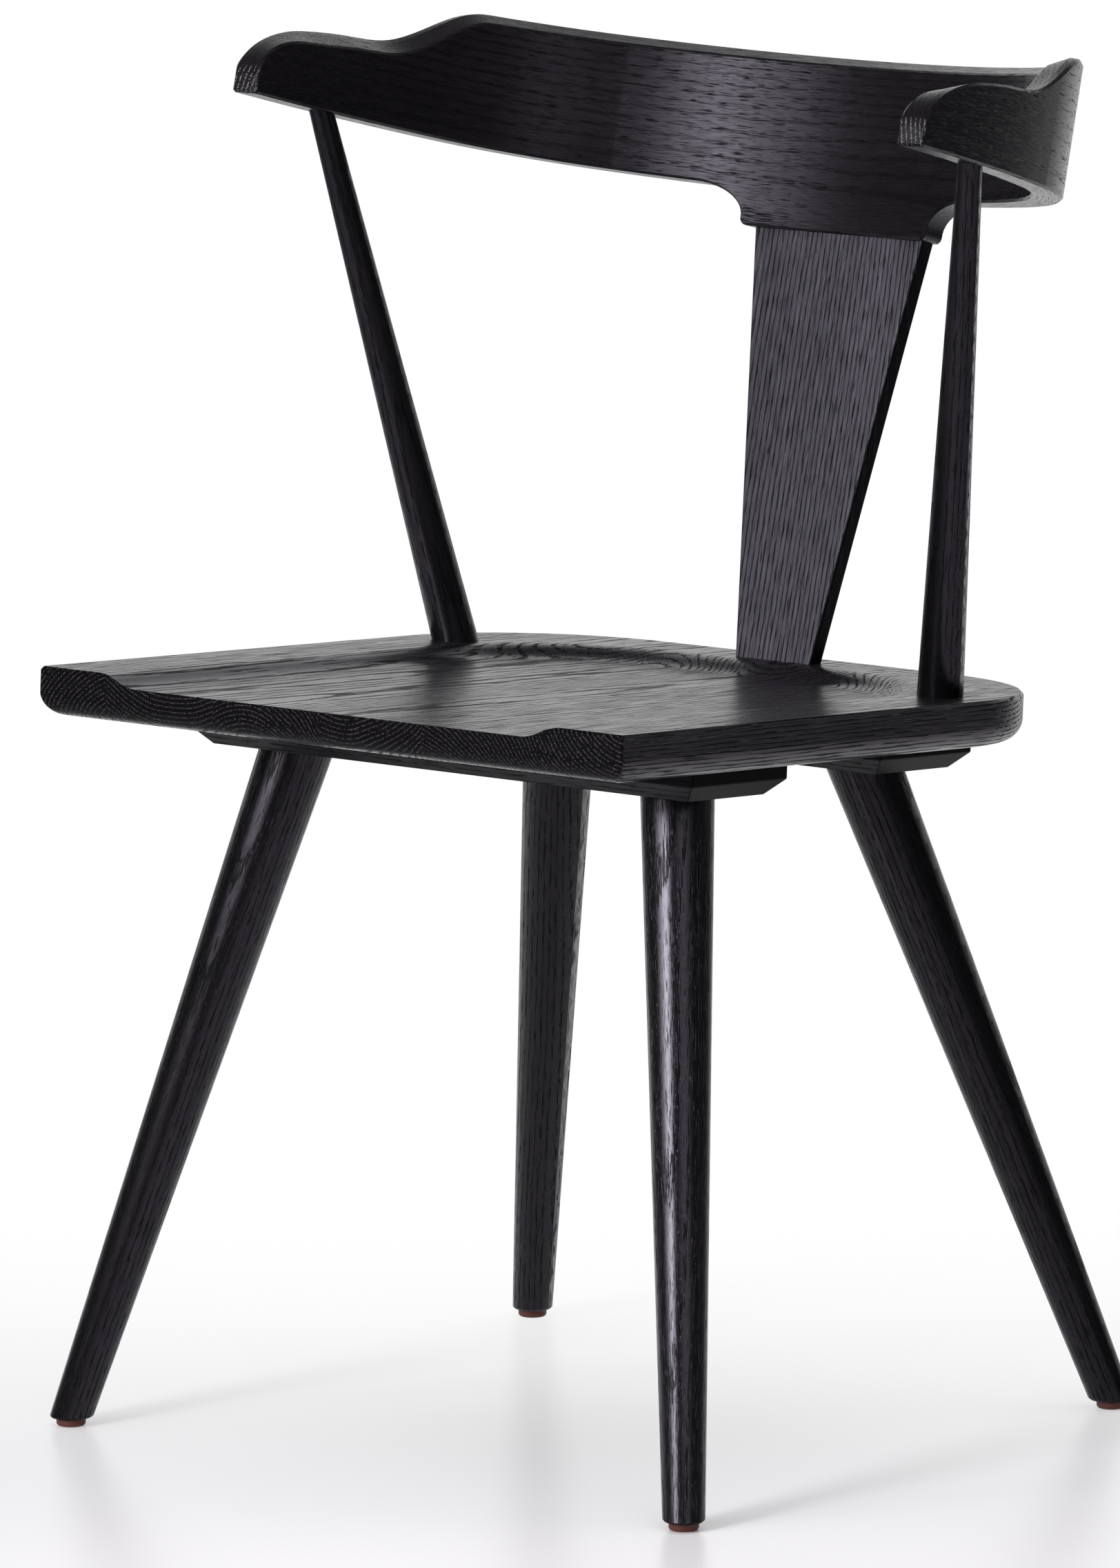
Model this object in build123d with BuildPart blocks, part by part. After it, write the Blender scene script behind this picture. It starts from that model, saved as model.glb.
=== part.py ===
from build123d import *
import math
import os

os.makedirs("parts", exist_ok=True)

# Driving dimensions: millimetres and degrees.
# The chair stands on the floor at z = 0 and its front faces -Y.

# Seat, measured in its own plane from the middle of its front top edge
seat_height = 460.0
seat_tilt = 3.4
seat_width = 434.0
seat_depth = 454.0
seat_thickness = 28.5
seat_rear_radius = 110.0
seat_back_bow = 5.0
seat_front_radius = 3.0
seat_under_round = 13.0
seat_edge_bevel = 1.9
glue_shares = (-0.38, -0.193, -0.009, 0.166, 0.346)

# Dish in the seat's top, open at the front
dish_side_margin = 45.0
dish_rear_margin = 42.0
dish_wall = 30.0
dish_depth = 7.3
dish_corner_radius = 108.0

# Cleats under the seat
cleat_width = 90.0
cleat_height = 20.0
cleat_bevel = 9.5
cleat_edge_round = 1.5
front_cleat_length = 374.0
rear_cleat_length = 320.0
front_cleat_setback = 148.5
rear_cleat_setback = 362.0

# Legs
leg_head_diameter = 43.0
leg_foot_diameter = 24.6
leg_head_inset = 45.0
leg_foot_bevel = 1.2
leg_tenon_diameter = 25.0
leg_tenon_length = 34.0
front_leg_splay_angle = 12.5
front_leg_rake_angle = 14.9
rear_leg_splay_angle = 15.4
rear_leg_rake_angle = 15.4

# Floor glides and their nails
glide_diameter = 17.5
glide_height = 5.0
glide_bevel = 1.6
nail_diameter = 2.2
nail_head_diameter = 7.0
nail_head_thickness = 1.2
nail_floor = 2.0
nail_length = 22.0

# Splat
back_lean = 14.3
splat_length = 259.0
splat_foot_width = 56.5
splat_head_width = 126.5
splat_thickness = 12.0
splat_rear_inset = 35.0
splat_recess = 0.2
splat_edge_round = 2.0
splat_tenon_thickness = 7.0
splat_tenon_shoulder = 8.0
splat_foot_tenon = 14.0
splat_head_tenon = 18.0

# Crest rail: a bent band, seen square to its own plane
rail_half_width = 238.0
rail_thickness = 19.0
arm_radius = 560.0
arm_sweep = 15.0
corner_radius = 145.0
corner_sweep = 46.0
arm_height = 42.0
arm_rise = 0.10
hump_height = 87.0
hump_fall = 0.03
step_start = 118.0
step_end = 184.0
top_bevel = 9.0
bevel_start = 60.0
crown_width = 5.7
crown_sag = 2.1
crown_steepness = 1.5
arm_crown = 0.12
nose_height = 11.0
nose_length = 58.0
tongue_width = 140.0
tongue_drop = 23.3
tongue_round = 4.5
tongue_flat = 0.8
shoulder_length = 31.0
rail_edge_bevel = 1.5
nose_edge_round = 2.0

# Back posts
post_foot_diameter = 27.5
post_head_diameter = 14.4
post_side_inset = 34.4
post_rear_inset = 111.0
post_head_reach = 67.0
post_head_inset = 8.0
post_foot_tenon_diameter = 18.0
post_foot_tenon = 16.0
post_head_tenon_diameter = 9.0
post_head_tenon = 14.0

# Screws that hold the cleats to the seat
screw_spacing = 62.0
screws_per_cleat = 3
screw_diameter = 4.5
screw_head_diameter = 9.0
screw_head_height = 3.2
screw_bite = 13.0
screw_point = 5.0
screw_tip_diameter = 1.1
screw_sink = 0.5
screw_slot_width = 1.0
screw_slot_length = 5.0
screw_slot_depth = 1.4

# Handle of a cubic curve that stands for a quarter of an ellipse
quarter_handle = 0.55

# Room left round every tenon, nail and screw
glue_gap = 0.2


# Planes of the chair

lean_sin = math.sin(math.radians(back_lean))
lean_cos = math.cos(math.radians(back_lean))
tilt_sin = math.sin(math.radians(seat_tilt))
tilt_cos = math.cos(math.radians(seat_tilt))

# Inner face of the rail in plan: an arm arc, a corner arc and half of the back arc
arm_centre_x = rail_half_width - arm_radius
arm_cos = math.cos(math.radians(arm_sweep))
arm_sin = math.sin(math.radians(arm_sweep))
corner_centre_x = arm_centre_x + (arm_radius - corner_radius) * arm_cos
corner_centre_y = (arm_radius - corner_radius) * arm_sin
back_angle = arm_sweep + corner_sweep
back_radius = corner_radius + corner_centre_x / math.cos(math.radians(back_angle))
back_centre_y = corner_centre_y - corner_centre_x * math.tan(math.radians(back_angle))
rail_depth = back_centre_y + back_radius

# The splat stands on the seat and carries the tongue of the rail
splat_setback = seat_depth - splat_rear_inset
splat_foot_y = splat_setback * tilt_cos
splat_foot_z = seat_height - splat_setback * tilt_sin
splat_reach = splat_length + tongue_drop
splat_depth = rail_depth + splat_recess
rail_y = splat_foot_y + splat_reach * lean_sin - splat_depth * lean_cos
rail_z = splat_foot_z + splat_reach * lean_cos + splat_depth * lean_sin

# The middle of the chair's depth is at y = 0
back_reach = rail_y + (rail_depth + rail_thickness) * lean_cos + hump_height * lean_sin
front_reach = seat_thickness * tilt_sin
front_y = (front_reach - back_reach) / 2

seat_plane = Plane(
    origin=(0, front_y, seat_height), x_dir=(1, 0, 0), z_dir=(0, tilt_sin, tilt_cos)
)
seat_bottom = seat_plane.offset(-seat_thickness)
cleat_bottom = seat_bottom.offset(-cleat_height)
rail_plane = Plane(
    origin=(0, front_y + rail_y, rail_z), x_dir=(1, 0, 0), z_dir=(0, lean_sin, lean_cos)
)
# Front view of the rail, square to its own plane
rail_front = Plane(origin=rail_plane.origin, x_dir=(1, 0, 0), z_dir=-rail_plane.y_dir)
splat_front = Plane(
    origin=(0, front_y + splat_foot_y, splat_foot_z), x_dir=(1, 0, 0), z_dir=-rail_plane.y_dir
)
foot_plane = Plane.XY.offset(glide_height)
sides = (("left", -1), ("right", 1))
overcut = 5.0
# Edges count as lengthwise or upright when this much of their direction agrees
along_share = 0.9
# Height above the rail's plane that clears all of the rail
rail_ceiling = hump_height + 4 * overcut


def save(piece, name):
    """Labels a finished piece and writes it as one node."""
    piece.part.label = name
    export_step(piece.part, f"parts/{name}.step")


def meet(start, direction, plane):
    """Point where a line from start along direction meets a plane."""
    share = (plane.origin - start).dot(plane.z_dir) / direction.dot(plane.z_dir)
    return start + direction * share


def turned_bar(start, end, start_diameter, end_diameter, overrun):
    """Tapered round bar along an axis, run past both ends so that it can be cut to fit."""
    length = (end - start).length
    growth = (end_diameter - start_diameter) / length * overrun
    plane = Plane(origin=start, z_dir=end - start)
    with BuildPart() as bar:
        with BuildSketch(plane.offset(-overrun)):
            Circle((start_diameter - growth) / 2)
        with BuildSketch(plane.offset(length + overrun)):
            Circle((end_diameter + growth) / 2)
        loft()
    return bar.part


def round_tenon(start, end, diameter, root, length):
    """Round pin on the axis from start to end: it begins root before the end and runs past it."""
    plane = Plane(origin=end, z_dir=end - start)
    with BuildPart() as pin:
        with BuildSketch(plane.offset(-root)):
            Circle(diameter / 2)
        extrude(amount=root + length)
    return pin.part


# Axes of the legs and the posts

def leg_line(side, cleat_length, setback, splay, rake):
    """Foot of a leg on its glide, and its head on the cleat's underside."""
    head_x = side * (cleat_length / 2 - leg_head_inset)
    head = cleat_bottom.from_local_coords((head_x, setback, 0))
    slope_x = side * math.tan(math.radians(splay))
    slope_y = math.tan(math.radians(rake))
    return meet(head, Vector(slope_x, slope_y, -1), foot_plane), head


leg_lines = {}
for side_name, side in sides:
    leg_lines[f"front_{side_name}"] = leg_line(
        side, front_cleat_length, front_cleat_setback, front_leg_splay_angle, -front_leg_rake_angle
    )
    leg_lines[f"rear_{side_name}"] = leg_line(
        side, rear_cleat_length, rear_cleat_setback, rear_leg_splay_angle, rear_leg_rake_angle
    )

post_angle = math.asin(post_head_reach / arm_radius)
post_radius = arm_radius + post_head_inset
post_head_x = arm_centre_x + post_radius * math.cos(post_angle)
post_head_y = post_radius * math.sin(post_angle)
post_lines = {}
for side_name, side in sides:
    foot_x = side * (seat_width / 2 - post_side_inset)
    post_lines[side_name] = (
        seat_plane.from_local_coords((foot_x, seat_depth - post_rear_inset, 0)),
        rail_plane.from_local_coords((side * post_head_x, post_head_y, 0)),
    )


def leg_tenon(line, gap):
    """Tenon on a leg's head, or its mortise when a gap is given."""
    foot, head = line
    root = leg_tenon_diameter / 2
    return round_tenon(foot, head, leg_tenon_diameter + 2 * gap, root, leg_tenon_length + gap)


def post_tenons(line, gap):
    """Tenons on both ends of a post, or their mortises when a gap is given."""
    foot, head = line
    return [
        round_tenon(
            head, foot, post_foot_tenon_diameter + 2 * gap,
            post_foot_tenon_diameter / 2, post_foot_tenon + gap,
        ),
        round_tenon(
            foot, head, post_head_tenon_diameter + 2 * gap,
            post_head_tenon_diameter / 2, post_head_tenon + gap,
        ),
    ]


def splat_tenon(width, low, high, gap):
    """Flat tenon on the splat between two heights, or its mortise when a gap is given."""
    middle = splat_front.offset(-splat_thickness / 2)
    with BuildPart() as tongue:
        with BuildSketch(middle):
            with Locations((0, (low + high) / 2)):
                Rectangle(width + 2 * gap, high - low + 2 * gap)
        extrude(amount=splat_tenon_thickness / 2 + gap, both=True)
    return tongue.part


def splat_tenons(gap):
    """Foot tenon and head tenon of the splat, or their mortises."""
    foot_width = splat_foot_width - 2 * splat_tenon_shoulder
    head_width = splat_head_width - 2 * splat_tenon_shoulder
    return [
        splat_tenon(foot_width, -splat_foot_tenon, splat_thickness, gap),
        splat_tenon(
            head_width, splat_length - splat_thickness, splat_length + splat_head_tenon, gap
        ),
    ]


def screw_planes(setback):
    """Planes of the screws on a cleat's underside, facing up into the seat."""
    first = -(screws_per_cleat - 1) / 2
    return [
        Plane(
            origin=cleat_bottom.from_local_coords(((first + i) * screw_spacing, setback, 0)),
            x_dir=cleat_bottom.x_dir,
            z_dir=cleat_bottom.z_dir,
        )
        for i in range(screws_per_cleat)
    ]


cleats = {
    "front": (front_cleat_length, front_cleat_setback),
    "rear": (rear_cleat_length, rear_cleat_setback),
}
screw_length = cleat_height + screw_bite

# Seat, dished and mortised, then parted at its glue lines

rim_x = seat_width / 2 - dish_side_margin
rim_y = seat_depth - dish_rear_margin
floor_x = rim_x - dish_wall
floor_y = rim_y - dish_wall
rear_y = seat_depth - seat_back_bow

with BuildPart() as seat:
    with BuildSketch(seat_plane):
        with BuildLine():
            Polyline(
                (-seat_width / 2, rear_y),
                (-seat_width / 2, 0),
                (seat_width / 2, 0),
                (seat_width / 2, rear_y),
            )
            ThreePointArc((seat_width / 2, rear_y), (0, seat_depth), (-seat_width / 2, rear_y))
        make_face()
        fillet(vertices().group_by(Axis.Y)[-1], seat_rear_radius)
        fillet(vertices().group_by(Axis.Y)[0], seat_front_radius)
    extrude(amount=-seat_thickness)

    # Large roundover under the sides and the back; the front keeps its square face
    rolled = [
        edge
        for edge in faces().filter_by(seat_plane).sort_by(Axis.Z)[0].edges()
        if seat_plane.to_local_coords(edge.center()).Y > seat_front_radius
    ]
    fillet(rolled, seat_under_round)
    chamfer(faces().filter_by(seat_plane).sort_by(Axis.Z)[-1].edges(), seat_edge_bevel)

    # Floor of the dish
    with BuildSketch(seat_plane.offset(-dish_depth)):
        with Locations((0, (floor_y - overcut) / 2)):
            Rectangle(2 * floor_x, floor_y + overcut)
        fillet(vertices().group_by(Axis.Y)[-1], dish_corner_radius - dish_wall)
    extrude(amount=dish_depth + overcut, mode=Mode.SUBTRACT)

    # Wall of the dish: an S-shaped section that runs round its sides and back
    with BuildLine(seat_plane) as dish_rim:
        FilletPolyline(
            (-rim_x, -overcut),
            (-rim_x, rim_y),
            (rim_x, rim_y),
            (rim_x, -overcut),
            radius=dish_corner_radius,
        )
    wall_start = Plane(
        origin=seat_plane.from_local_coords((-rim_x, -overcut, 0)),
        x_dir=seat_plane.x_dir,
        z_dir=-seat_plane.y_dir,
    )
    with BuildSketch(wall_start) as dish_section:
        with BuildLine():
            middle = (dish_wall / 2, -dish_depth / 2)
            rim_curve = TangentArc((0, 0), middle, tangent=(1, 0))
            TangentArc(middle, (dish_wall, -dish_depth), tangent=rim_curve % 1)
            Polyline((dish_wall, -dish_depth), (dish_wall, overcut), (0, overcut), (0, 0))
        make_face()
    sweep(sections=dish_section.sketch, path=dish_rim.wire(), mode=Mode.SUBTRACT)

    # Mortises for the legs, the posts and the splat, and pilot holes for the screws
    for line in leg_lines.values():
        add(leg_tenon(line, glue_gap), mode=Mode.SUBTRACT)
    for line in post_lines.values():
        add(post_tenons(line, glue_gap)[0], mode=Mode.SUBTRACT)
    add(splat_tenons(glue_gap)[0], mode=Mode.SUBTRACT)
    for cleat_length, setback in cleats.values():
        for plane in screw_planes(setback):
            with BuildSketch(plane):
                Circle(screw_diameter / 2 + glue_gap)
            extrude(amount=screw_length + glue_gap, mode=Mode.SUBTRACT)

board_edges = [-seat_width, *(share * seat_width for share in glue_shares), seat_width]
for number, (left_x, right_x) in enumerate(zip(board_edges, board_edges[1:]), start=1):
    with BuildPart() as board:
        add(seat.part)
        split(bisect_by=Plane.YZ.offset(left_x), keep=Keep.TOP)
        split(bisect_by=Plane.YZ.offset(right_x), keep=Keep.BOTTOM)
    save(board, f"seat_board_{number}")

# Cleats with their lower edges bevelled all round, and the screws in them

for end_name, (cleat_length, setback) in cleats.items():
    with BuildPart() as cleat:
        with BuildSketch(seat_bottom):
            with Locations((0, setback)):
                Rectangle(cleat_length, cleat_width)
        extrude(amount=-cleat_height)
        chamfer(faces().filter_by(seat_plane).sort_by(Axis.Z)[0].edges(), cleat_bevel)
        level = faces().filter_by(seat_plane).edges()
        fillet([edge for edge in edges() if edge not in level], cleat_edge_round)
        for name, line in leg_lines.items():
            if name.startswith(end_name):
                add(leg_tenon(line, glue_gap), mode=Mode.SUBTRACT)
        for plane in screw_planes(setback):
            with Locations(plane):
                Cylinder(
                    screw_diameter / 2 + glue_gap, screw_length,
                    align=(Align.CENTER, Align.CENTER, Align.MIN), mode=Mode.SUBTRACT,
                )
                Cylinder(
                    screw_head_diameter / 2 + glue_gap, 2 * screw_sink,
                    mode=Mode.SUBTRACT,
                )
            with Locations(plane.offset(screw_sink)):
                Cone(
                    screw_head_diameter / 2 + glue_gap, screw_diameter / 2 + glue_gap,
                    screw_head_height,
                    align=(Align.CENTER, Align.CENTER, Align.MIN), mode=Mode.SUBTRACT,
                )
    save(cleat, f"{end_name}_cleat")

    with BuildPart() as screws:
        for plane in screw_planes(setback):
            with Locations(plane.offset(screw_sink)):
                Cone(
                    screw_head_diameter / 2, screw_diameter / 2, screw_head_height,
                    align=(Align.CENTER, Align.CENTER, Align.MIN),
                )
                Cylinder(
                    screw_diameter / 2, screw_length - screw_sink - screw_point,
                    align=(Align.CENTER, Align.CENTER, Align.MIN),
                )
                for turn in (0, 90):
                    Box(
                        screw_slot_length, screw_slot_width, 2 * screw_slot_depth,
                        rotation=(0, 0, turn), mode=Mode.SUBTRACT,
                    )
            with Locations(plane.offset(screw_length - screw_point)):
                Cone(
                    screw_diameter / 2, screw_tip_diameter / 2, screw_point,
                    align=(Align.CENTER, Align.CENTER, Align.MIN),
                )
    save(screws, f"{end_name}_cleat_screws")

# Legs, glides and nails

for name, line in leg_lines.items():
    foot, head = line
    nail_plane = Plane(origin=(foot.X, foot.Y, nail_floor))
    with BuildPart() as leg:
        add(turned_bar(foot, head, leg_foot_diameter, leg_head_diameter, leg_head_diameter))
        split(bisect_by=cleat_bottom, keep=Keep.BOTTOM)
        split(bisect_by=foot_plane, keep=Keep.TOP)
        chamfer(faces().sort_by(Axis.Z)[0].edges(), leg_foot_bevel)
        add(leg_tenon(line, 0))
        with BuildSketch(nail_plane):
            Circle(nail_diameter / 2 + glue_gap)
        extrude(amount=nail_length + glue_gap, mode=Mode.SUBTRACT)
    save(leg, f"{name}_leg")

    with BuildPart() as glide:
        with BuildSketch(Plane(origin=(foot.X, foot.Y, 0))):
            Circle(glide_diameter / 2)
        extrude(amount=glide_height)
        chamfer(faces().sort_by(Axis.Z)[0].edges(), glide_bevel)
        with BuildSketch(nail_plane):
            Circle(nail_head_diameter / 2 + glue_gap)
        extrude(amount=nail_head_thickness + glue_gap, mode=Mode.SUBTRACT)
        with BuildSketch(nail_plane):
            Circle(nail_diameter / 2 + glue_gap)
        extrude(amount=glide_height, mode=Mode.SUBTRACT)
    save(glide, f"{name}_glide")

with BuildPart() as nails:
    for foot, head in leg_lines.values():
        nail_plane = Plane(origin=(foot.X, foot.Y, nail_floor))
        with BuildSketch(nail_plane):
            Circle(nail_head_diameter / 2)
        extrude(amount=nail_head_thickness)
        with BuildSketch(nail_plane):
            Circle(nail_diameter / 2)
        extrude(amount=nail_length)
save(nails, "glide_nails")

# Splat

flare = (splat_head_width - splat_foot_width) / splat_length / 2
splat_low = -(splat_thickness + overcut)

with BuildPart() as splat:
    with BuildSketch(splat_front):
        with BuildLine():
            low_x = splat_foot_width / 2 + flare * splat_low
            head_x = splat_head_width / 2
            Polyline(
                (-low_x, splat_low), (low_x, splat_low), (head_x, splat_length), (-head_x, splat_length),
                close=True,
            )
        make_face()
    extrude(amount=-splat_thickness)
    fillet(
        [edge for edge in edges() if abs(edge.tangent_at(0.5).dot(splat_front.y_dir)) > along_share],
        splat_edge_round,
    )
    split(bisect_by=seat_plane, keep=Keep.TOP)
    for tenon in splat_tenons(0):
        add(tenon)
save(splat, "back_splat")

# Crest rail

def rail_plan(angle, offset):
    """Point of the rail in plan where its outward direction has an angle from +X."""
    turn = min(angle, 180 - angle)
    if turn <= arm_sweep:
        centre_x, centre_y, radius = arm_centre_x, 0, arm_radius
    elif turn <= back_angle:
        centre_x, centre_y, radius = corner_centre_x, corner_centre_y, corner_radius
    else:
        centre_x, centre_y, radius = 0, back_centre_y, back_radius
    x = centre_x + (radius + offset) * math.cos(math.radians(turn))
    y = centre_y + (radius + offset) * math.sin(math.radians(turn))
    return (x if angle <= 90 else -x), y


def ease(value, start, end):
    """Smooth step from 0 at start to 1 at end."""
    share = min(max((value - start) / (end - start), 0), 1)
    return share * share * (3 - 2 * share)


def arm_top(reach):
    """Height of the arm's outer top edge at a reach behind the arm's end."""
    return arm_height + arm_rise * reach


def nose_share(reach):
    """Share of the arm's height over its nose, a quarter of an ellipse that goes on below the end."""
    left = max(1 - abs(reach) / nose_length, 0)
    return math.copysign(math.sqrt(1 - left * left), reach)


def rail_top(reach):
    """Height of the rail's outer top edge: nose, arm, step and hump."""
    if reach < nose_length:
        return nose_height + (arm_top(reach) - nose_height) * nose_share(reach)
    hump = hump_height - hump_fall * (rail_depth + rail_thickness - reach)
    return arm_top(reach) + (hump - arm_top(reach)) * ease(reach, step_start, step_end)


def nose_angle(share):
    """Angle in plan at a share of the nose's length."""
    return math.degrees(math.asin(share * nose_length / (arm_radius + rail_thickness)))


def top_section(angle):
    """Section of the space above the rail, whose lower edge is the sloping top with its eased edges."""
    inner_x, inner_y = rail_plan(angle, 0)
    out = rail_plane.x_dir * math.cos(math.radians(angle)) + rail_plane.y_dir * math.sin(
        math.radians(angle)
    )
    plane = Plane(
        origin=rail_plane.from_local_coords((inner_x, inner_y, 0)),
        x_dir=out,
        z_dir=out.cross(rail_plane.z_dir),
    )
    reach = rail_plan(angle, rail_thickness)[1]
    slope = top_bevel * ease(reach, 0, bevel_start) / rail_thickness
    # The outer edge is eased by a slight crown on the arms, and by a full one on the hump
    crown = arm_crown + (1 - arm_crown) * ease(reach, step_start, step_end)
    inner, shoulder, outer = rail_edge_bevel, rail_thickness - crown_width, rail_thickness - rail_edge_bevel
    inner_top, shoulder_top, outer_top = [
        rail_top(reach) - slope * (rail_thickness - x) for x in (inner, shoulder, outer)
    ]
    outer_top -= crown_sag * crown
    drop = rail_edge_bevel + overcut
    outer_drop = drop * (1 + (crown_steepness - 1) * crown)
    with BuildSketch(plane) as section:
        with BuildLine():
            Polyline(
                (-overcut, inner_top - drop),
                (inner, inner_top),
                (shoulder, shoulder_top),
                (outer, outer_top),
                (rail_thickness + overcut, outer_top - outer_drop),
                (rail_thickness + overcut, rail_ceiling),
                (-overcut, rail_ceiling),
                close=True,
            )
        make_face()
    return section.sketch


nose_places = (-0.10, -0.03, 0, 0.03, 0.10, 0.20, 0.34, 0.50, 0.72)
arm_steps, corner_steps, back_steps = 3, 9, 5
half_angles = [nose_angle(place) for place in nose_places]
nose_end = nose_angle(1)
half_angles += [nose_end + (arm_sweep - nose_end) * i / arm_steps for i in range(arm_steps)]
half_angles += [arm_sweep + corner_sweep * i / corner_steps for i in range(corner_steps)]
half_angles += [back_angle + (90 - back_angle) * i / back_steps for i in range(back_steps)]
top_angles = half_angles + [90] + [180 - angle for angle in reversed(half_angles)]


def band_outline(offset):
    """Arcs of one face of the rail in plan, from the right arm round to the left arm."""
    turns = (0, arm_sweep, back_angle, 180 - back_angle, 180 - arm_sweep, 180)
    for start, end in zip(turns, turns[1:]):
        places = [rail_plan(angle, offset) for angle in (start, (start + end) / 2, end)]
        ThreePointArc(*places)


def is_upright(edge):
    """True for an edge that stands square to the rail's plane."""
    return abs(edge.tangent_at(0.5).dot(rail_plane.z_dir)) > along_share


def on_nose(edge):
    """True for an upright edge at the end of an arm."""
    place = rail_plane.to_local_coords(edge.center())
    return is_upright(edge) and place.Y < rail_edge_bevel and place.Z < nose_height


def round_underside(edge):
    """True for an edge round the underside; false for a seam across it."""
    place = rail_plane.to_local_coords(edge.center())
    seam = edge.geom_type == GeomType.LINE and not is_upright(edge) and place.Y > rail_thickness
    return place.Z < rail_edge_bevel / 2 and not seam


with BuildPart() as crest:
    # Bent band, as deep as the tongue and as tall as the hump
    with BuildSketch(rail_plane.offset(-tongue_drop)):
        with BuildLine():
            band_outline(0)
            band_outline(rail_thickness)
            for angle in (0, 180):
                Line(rail_plan(angle, 0), rail_plan(angle, rail_thickness))
        make_face()
    extrude(amount=tongue_drop + hump_height + overcut)

    # Underside: level arms and the tongue with its hollow shoulders
    with BuildSketch(rail_front):
        with BuildLine():
            side_x = rail_half_width + 2 * rail_thickness
            tongue_x = tongue_width / 2
            shoulder_x = tongue_x + shoulder_length
            shoulder_drop = tongue_drop - tongue_round - tongue_flat
            FilletPolyline(
                (-tongue_x, -shoulder_drop), (-tongue_x, -tongue_drop),
                (tongue_x, -tongue_drop), (tongue_x, -shoulder_drop),
                radius=tongue_round,
            )
            for side_name, side in sides:
                Bezier(
                    (side * shoulder_x, 0),
                    (side * (shoulder_x - quarter_handle * shoulder_length), 0),
                    (side * tongue_x, (quarter_handle - 1) * shoulder_drop),
                    (side * tongue_x, -shoulder_drop),
                )
            Polyline(
                (shoulder_x, 0), (side_x, 0), (side_x, rail_ceiling),
                (-side_x, rail_ceiling), (-side_x, 0), (-shoulder_x, 0),
            )
        make_face()
    extrude(amount=-2 * rail_depth, mode=Mode.INTERSECT)

    # Top: arms, step and hump, bevelled inwards
    sections = [top_section(angle) for angle in top_angles]
    loft(sections=sections, mode=Mode.SUBTRACT)

    # Eased ends of the arms and eased underside
    fillet([edge for edge in edges() if on_nose(edge)], nose_edge_round)
    chamfer([edge for edge in edges() if round_underside(edge)], rail_edge_bevel)

    # Mortises for the posts and the splat
    for line in post_lines.values():
        add(post_tenons(line, glue_gap)[1], mode=Mode.SUBTRACT)
    add(splat_tenons(glue_gap)[1], mode=Mode.SUBTRACT)
save(crest, "crest_rail")

# Back posts

for side_name, line in post_lines.items():
    foot, head = line
    with BuildPart() as post:
        add(turned_bar(foot, head, post_foot_diameter, post_head_diameter, post_foot_diameter))
        split(bisect_by=seat_plane, keep=Keep.TOP)
        split(bisect_by=rail_plane, keep=Keep.BOTTOM)
        for tenon in post_tenons(line, 0):
            add(tenon)
    save(post, f"{side_name}_back_post")
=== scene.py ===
# %% [markdown]
# # A black oak chair with a bent back
# The chair is turned, bent and carved oak under a thin black stain, with an oiled sheen.
# Its solids come from the CAD model, so Blender adds what CAD leaves out: the grain of every
# piece, the rounded rims of the floor glides, the studio floor and the light. All sizes are in
# metres, and every node already stands where the CAD model puts it.

import math

import bpy
from mathutils import Matrix, Vector


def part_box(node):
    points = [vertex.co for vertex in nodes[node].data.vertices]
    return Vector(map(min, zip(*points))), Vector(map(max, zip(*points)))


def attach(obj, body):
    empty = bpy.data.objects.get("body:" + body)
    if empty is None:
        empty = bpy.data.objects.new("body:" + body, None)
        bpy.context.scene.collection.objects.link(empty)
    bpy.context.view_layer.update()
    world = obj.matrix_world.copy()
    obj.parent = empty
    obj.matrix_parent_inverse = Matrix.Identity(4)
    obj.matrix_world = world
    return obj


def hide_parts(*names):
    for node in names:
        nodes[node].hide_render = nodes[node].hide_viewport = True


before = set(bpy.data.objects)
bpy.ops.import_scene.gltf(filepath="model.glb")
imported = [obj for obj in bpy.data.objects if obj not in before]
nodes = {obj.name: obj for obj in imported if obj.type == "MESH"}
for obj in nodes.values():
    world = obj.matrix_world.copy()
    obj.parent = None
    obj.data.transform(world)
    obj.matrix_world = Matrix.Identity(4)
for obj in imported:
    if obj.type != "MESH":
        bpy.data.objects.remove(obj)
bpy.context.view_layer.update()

# %% [markdown]
# ## Shader maths in plain Python
# A grain pattern is a sum of many small formulas. Wiring each Math node by hand hides the formula,
# so one small class wraps a socket: adding or multiplying two of them adds the Math node.
# Every other kind of node comes from its one method, node().

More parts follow.
